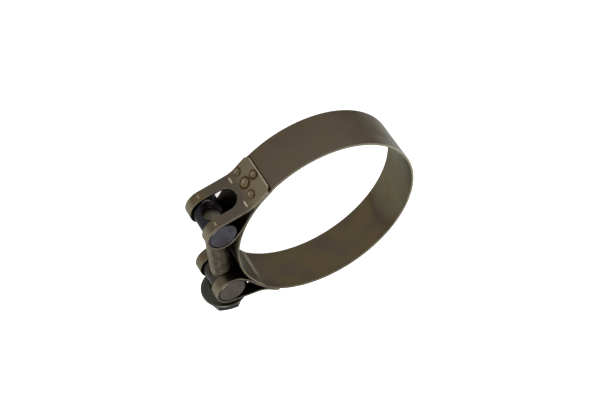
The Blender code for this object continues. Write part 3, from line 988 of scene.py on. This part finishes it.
def rivet_material(name, radius):
    """Pressed rivet head: brown round its rim and in a fine ring round its middle."""
    shader = Shader("rivet_pressed_steel")
    turned = TurnedPlace(shader)
    colour = shader.mix(shader.fade(turned.cloud, 0.3, 0.7), STRAP_OLIVE, LOOP_PALE)
    edge = radius / MM
    rim_brown = SMALL_RIM_BROWN if name in SHADOW_CRESCENT_RIVETS else 1.0
    rim = shader.fade(turned.radial, edge * 0.74, edge * 0.86, 0.0, rim_brown)
    groove = band_between(shader, turned.radial, edge * 0.42, edge * 0.56, 0.08)
    brown = shader.math("MAXIMUM", rim, shader.times(groove, 0.6))
    colour = shader.mix(shader.times(brown, 0.9), colour, HEAT_TINT_AND_SHADOW_BROWN)
    return shader.metal(colour, DULL_ROUGHNESS, shader.bump(turned.fleck, 0.012 * MM))


def bolt_material():
    """Bolt: pale crests, painted shade in the roots and on the bearing face, a painted rim
    highlight, a darker greener head.
    """
    shader = Shader("bolt_steel_satin")
    turned = TurnedPlace(shader)
    colour = shader.mix(shader.fade(turned.cloud, 0.35, 0.68), BOLT_LIGHT, BOLT_DARK)
    # Painted shade in the thread's roots
    root = shader.fade(turned.radial, THREAD_ROOT_RADIUS / MM + 0.05, THREAD_RADIUS / MM - 0.1,
                       0.85, 0.0)
    shank = shader.fade(turned.along, 1.5, 2.0)
    colour = shader.mix(shader.times(root, shank), colour, BOLT_ROOT)
    seat = BOLT_LENGTH / MM
    head = shader.fade(turned.along, seat - 0.2, seat)
    colour = shader.mix(head, colour, HEAD_GREEN)
    rim = seat + FLANGE_RIM_LOW / MM
    bearing = band_between(shader, turned.along, seat, rim - 0.1, 0.1)
    colour = shader.mix(bearing, colour, HEAD_SHADE)
    # Painted highlight on the flange's rim
    edge = band_between(shader, turned.along, rim, seat + FLANGE_RIM_HIGH / MM, 0.15)
    colour = shader.mix(edge, colour, HEAD_RIM_HIGHLIGHT)
    tip = shader.fade(turned.along, 0.2, 1.2, 0.45, 0.0)
    colour = shader.mix(tip, colour, BOLT_ROOT)
    roughness = shader.fade(turned.fleck, 0.3, 0.7, *BOLT_ROUGHNESS)
    return shader.metal(colour, roughness, turned.relief(shader, 0.5, 0.001 * MM, 0.006 * MM))


# ---- pieces


def paint(obj, *materials):
    obj.data.materials.clear()
    for material in materials:
        obj.data.materials.append(material)


def build_strap(line, skin, edge):
    """The strap from one flap's end to the other's, bent round behind the ring."""
    runs = strap_runs(line)
    rows = []
    for run in [-value for value in reversed(runs[1:])] + runs:
        point, outward = line.at(run)
        rows.append(Row(point, outward, run, line.half_height(run), line.slot_half(run),
                        STRAP_THICKNESS))
    strap = new_object("strap", strip_mesh("strap", rows))
    paint(strap, skin, edge)
    soften(strap, STRAP_EDGE_ROUND, material=1)
    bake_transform(strap)
    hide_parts("band_bolt_side", "band_nut_side")


def build_bridge(skin, edge):
    """Thin strip inside the ring across the gap, thinner towards its free end."""
    outer_radius = BAND_OUTER_RADIUS - STRAP_THICKNESS - BRIDGE_GAP
    span = BRIDGE_FREE_END - BRIDGE_RIVETED_END
    count = round(span / BRIDGE_ROW_ANGLE)
    rows = []
    for index in range(count + 1):
        angle = BRIDGE_RIVETED_END + span * index / count
        left = math.radians(BRIDGE_FREE_END - angle) * outer_radius
        share = min(1.0, left / BRIDGE_TAPER)
        thickness = BRIDGE_TIP_THICKNESS + (BRIDGE_THICKNESS - BRIDGE_TIP_THICKNESS) * share
        radius = outer_radius - thickness / 2
        outward = from_gap(1.0, angle)
        rows.append(Row(outward * radius, outward, math.radians(angle) * radius,
                        BRIDGE_WIDTH / 2, 0.0, thickness))
    bridge = new_object("bridge_strip", strip_mesh("bridge_strip", rows))
    paint(bridge, skin, edge)
    soften(bridge, BRIDGE_EDGE_ROUND, material=1)
    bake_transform(bridge)
    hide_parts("bridge")


def build_rivet(line, side_name, name, material):
    side = SIDES[side_name]
    angle, height, radius = RIVET_LAYOUT[name]
    point, outward = line.at(side * line.flap_run(angle))
    outward = -outward
    profile = [(radius * share, height_over) for share, height_over in RIVET_SECTION]
    mesh = ring_stack_mesh(name, turned_rings(profile, RIVET_STEPS))
    rivet = new_object(f"rivet_{side_name}_{name}_head", mesh)
    seat = RING_CENTRE + point + outward * STRAP_THICKNESS / 2
    rivet.location = seat + Vector((0, 0, height * -side))
    rivet.rotation_euler = outward.to_track_quat("Z", "Y").to_euler()
    paint(rivet, material)
    soften(rivet, RIVET_EDGE_ROUND, angle=RIVET_ROUND_ANGLE)
    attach(rivet, side_name)
    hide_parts(f"rivet_{side_name}_{name}")


def barrel_blank(node):
    """Barrel without its hole, its axis along Z, with chamfered and slightly dished ends."""
    half = BARREL_LENGTH / 2
    upper = [
        (BARREL_RADIUS * 0.05, half - BARREL_DISH),
        (BARREL_RADIUS * 0.70, half - BARREL_DISH * 0.5),
        (BARREL_RADIUS - BARREL_CHAMFER, half),
        (BARREL_RADIUS, half - BARREL_CHAMFER),
    ]
    profile = upper + [(radius, -height) for radius, height in reversed(upper)]
    mesh = ring_stack_mesh(node, turned_rings(profile, BARREL_STEPS))
    return new_object(f"{node}_turned", mesh)


def cut_threaded_hole(barrel):
    """Thread in step with the bolt's at rest, and a countersink at each end of it."""
    tip = HEAD_FACE - BOLT_LENGTH + 2 * BARREL_AXIS.x
    phase = (-CUTTER_REACH - tip) / THREAD_PITCH % 1.0
    tap = new_object("tap", thread_mesh("tap", 2 * CUTTER_REACH, THREAD_CLEARANCE,
                                        THREAD_PITCH, -phase))
    tap.rotation_euler = (0, math.pi / 2, 0)
    tap.location = (-CUTTER_REACH, 0, 0)
    boolean(barrel, tap, "DIFFERENCE")
    profile = [
        (COUNTERSINK_RADIUS + COUNTERSINK_OVERRUN, BARREL_RADIUS + COUNTERSINK_OVERRUN),
        (COUNTERSINK_RADIUS - COUNTERSINK_DEPTH, BARREL_RADIUS - COUNTERSINK_DEPTH),
    ]
    for sign in (-1, 1):
        sink = new_object("sink", ring_stack_mesh("sink", turned_rings(profile, BORE_STEPS)))
        sink.rotation_euler = (0, sign * math.pi / 2, 0)
        boolean(barrel, sink, "DIFFERENCE")


def cut_plain_hole(barrel):
    rings = turned_rings([(BORE_RADIUS, -CUTTER_REACH), (BORE_RADIUS, CUTTER_REACH)],
                         BORE_STEPS)
    bore = new_object("bore", ring_stack_mesh("bore", rings))
    bore.rotation_euler = (0, math.pi / 2, 0)
    boolean(barrel, bore, "DIFFERENCE")


def mark_hole_faces(barrel):
    """Gives the faces inside the cross hole the second material."""
    for face in barrel.data.polygons:
        place = face.center
        from_skin = BARREL_RADIUS - math.hypot(place.x, place.y)
        in_hole = math.hypot(place.y, place.z) < COUNTERSINK_RADIUS
        face.material_index = 1 if in_hole and from_skin > 0.05 * MM else 0


def build_barrel(side_name, node, skin, hole, tapped):
    barrel = barrel_blank(node)
    if tapped:
        cut_threaded_hole(barrel)
    else:
        cut_plain_hole(barrel)
    paint(barrel, skin, hole)
    mark_hole_faces(barrel)
    barrel.data.shade_smooth()
    barrel.data.set_sharp_from_angle(angle=math.radians(BARREL_SHARP_ANGLE))
    barrel.location = RING_CENTRE + BARREL_PLACES[side_name]
    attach(barrel, node)
    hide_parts(node)


def hex_radius(angle):
    """Distance from the head's middle to its hexagon at an angle."""
    sixth = math.pi / 3
    from_corner = (angle - math.radians(HEX_TURN)) % sixth
    return HEX_ACROSS_FLATS / 2 / math.cos(from_corner - sixth / 2)


def head_rings():
    """Rings of the flanged hexagon head along +Z, its bearing face at z = 0."""
    angles = [2 * math.pi * index / HEAD_STEPS for index in range(HEAD_STEPS)]

    def circle(radius, height):
        return [Vector((radius * math.cos(angle), radius * math.sin(angle), height))
                for angle in angles]

    def hexagon(height_at):
        reaches = [hex_radius(angle) for angle in angles]
        return [Vector((reach * math.cos(angle), reach * math.sin(angle), height_at(reach)))
                for angle, reach in zip(angles, reaches)]

    slope = (FLANGE_HEIGHT - FLANGE_RIM_HIGH) / (FLANGE_RADIUS - FLANGE_TOP_RADIUS)
    chamfer = math.tan(math.radians(HEX_CHAMFER))
    return [
        circle(THREAD_ROOT_RADIUS * 0.5, 0.0),
        circle(BEARING_RADIUS, 0.0),
        circle(FLANGE_RADIUS - 0.15 * MM, FLANGE_RIM_LOW - 0.05 * MM),
        circle(FLANGE_RADIUS, FLANGE_RIM_LOW + 0.15 * MM),
        circle(FLANGE_RADIUS, FLANGE_RIM_HIGH - 0.15 * MM),
        circle(FLANGE_RADIUS - 0.2 * MM, FLANGE_RIM_HIGH),
        hexagon(lambda radius: FLANGE_RIM_HIGH + (FLANGE_RADIUS - radius) * slope),
        hexagon(lambda radius: HEAD_HEIGHT - (radius - HEX_TOP_RADIUS) * chamfer),
        circle(HEX_TOP_RADIUS, HEAD_HEIGHT),
        circle(HEX_TOP_RADIUS - 0.5 * MM, HEAD_HEIGHT),
        circle(HEX_TOP_RADIUS * 0.1, HEAD_HEIGHT - 0.1 * MM),
    ]


def build_bolt(material):
    """Threaded rod from the tip into the head, laid along X with the head at +X."""
    rod = thread_mesh("bolt_rod", BOLT_LENGTH + HEAD_OVERLAP, 0.0,
                      THREAD_RUNOUT + HEAD_OVERLAP, 0.0)
    bolt = new_object("bolt_threaded", rod)
    head = new_object("head", ring_stack_mesh("head", head_rings()))
    head.location = (0, 0, BOLT_LENGTH)
    bpy.context.view_layer.update()
    boolean(bolt, head, "UNION")
    paint(bolt, material)
    bolt.data.shade_smooth()
    bolt.data.set_sharp_from_angle(angle=math.radians(BOLT_SHARP_ANGLE))
    bolt.rotation_euler = (0, math.pi / 2, 0)
    tip = HEAD_FACE - BOLT_LENGTH
    bolt.location = RING_CENTRE + BARREL_PLACES["bolt_side"] + Vector((tip, 0, 0))
    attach(bolt, "bolt")
    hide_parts("bolt")


# ---- studio


def build_floor():
    mesh = bpy.data.meshes.new("studio_floor")
    corners = [(-FLOOR_SIZE, -FLOOR_SIZE, 0), (FLOOR_SIZE, -FLOOR_SIZE, 0),
               (FLOOR_SIZE, FLOOR_SIZE, 0), (-FLOOR_SIZE, FLOOR_SIZE, 0)]
    mesh.from_pydata(corners, [], [(0, 1, 2, 3)])
    floor = new_object("studio_floor", mesh)
    floor.location.z = CAD_LOW.z - FLOOR_GAP
    material = bpy.data.materials.new("floor_white")
    material.use_nodes = True
    surface = material.node_tree.nodes["Principled BSDF"]
    surface.inputs["Base Color"].default_value = (FLOOR_GREY, FLOOR_GREY, FLOOR_GREY, 1.0)
    surface.inputs["Roughness"].default_value = 1.0
    surface.inputs["Specular IOR Level"].default_value = 0.0
    surface.inputs["Emission Color"].default_value = (1.0, 1.0, 1.0, 1.0)
    surface.inputs["Emission Strength"].default_value = FLOOR_GLOW
    paint(floor, material)


def area_light(name, place, size, power):
    """Square white light aimed at the ring's middle."""
    data = bpy.data.lights.new(name, "AREA")
    data.shape = "SQUARE"
    data.size = size
    data.energy = power
    light = new_object(name, data)
    light.location = place
    aim = RING_CENTRE - Vector(place)
    light.rotation_euler = aim.to_track_quat("-Z", "Y").to_euler()


def build_studio():
    build_floor()
    world = bpy.data.worlds.new("studio")
    bpy.context.scene.world = world
    world.use_nodes = True
    background = world.node_tree.nodes["Background"]
    background.inputs["Color"].default_value = (1.0, 1.0, 1.0, 1.0)
    background.inputs["Strength"].default_value = SKY_STRENGTH
    for name, place, size, power in LIGHTS:
        area_light(name, place, size, power)
    bpy.context.scene.view_settings.view_transform = "Standard"


def build_camera():
    data = bpy.data.cameras.new("camera")
    data.lens = CAMERA_LENS
    data.sensor_width = CAMERA_SENSOR
    data.sensor_fit = "HORIZONTAL"
    data.clip_start = 10 * MM
    data.clip_end = 100.0
    camera = new_object("camera", data)
    forward = CAMERA_FORWARD.normalized()
    camera.location = RING_CENTRE + CAMERA_AIM - forward * CAMERA_DISTANCE
    level = forward.to_track_quat("-Z", "Y").to_matrix().to_4x4()
    roll = Matrix.Rotation(math.radians(CAMERA_ROLL), 4, "Z")
    camera.rotation_euler = (level @ roll).to_euler()
    bpy.context.scene.camera = camera


def main():
    line = StrapLine()
    skin = strap_material(line)
    edge = edge_material(line)
    hole = hole_material()
    nut_steel = barrel_material("nut_turned_steel", BARREL_BLUE, BARREL_BLUE_DARK,
                                BARREL_BLUE_SIDE)
    barrel_steel = barrel_material("barrel_turned_steel", BARREL_BROWN, BARREL_BROWN_DARK,
                                   BARREL_BROWN_SIDE)
    build_strap(line, skin, edge)
    build_bridge(bridge_material(), edge)
    for name, (_, _, radius) in RIVET_LAYOUT.items():
        steel = rivet_material(name, radius)
        for side_name in SIDES:
            build_rivet(line, side_name, name, steel)
    build_barrel("bolt_side", "plain_barrel", barrel_steel, hole, False)
    build_barrel("nut_side", "nut_barrel", nut_steel, hole, True)
    build_bolt(bolt_material())
    build_studio()
    build_camera()


main()
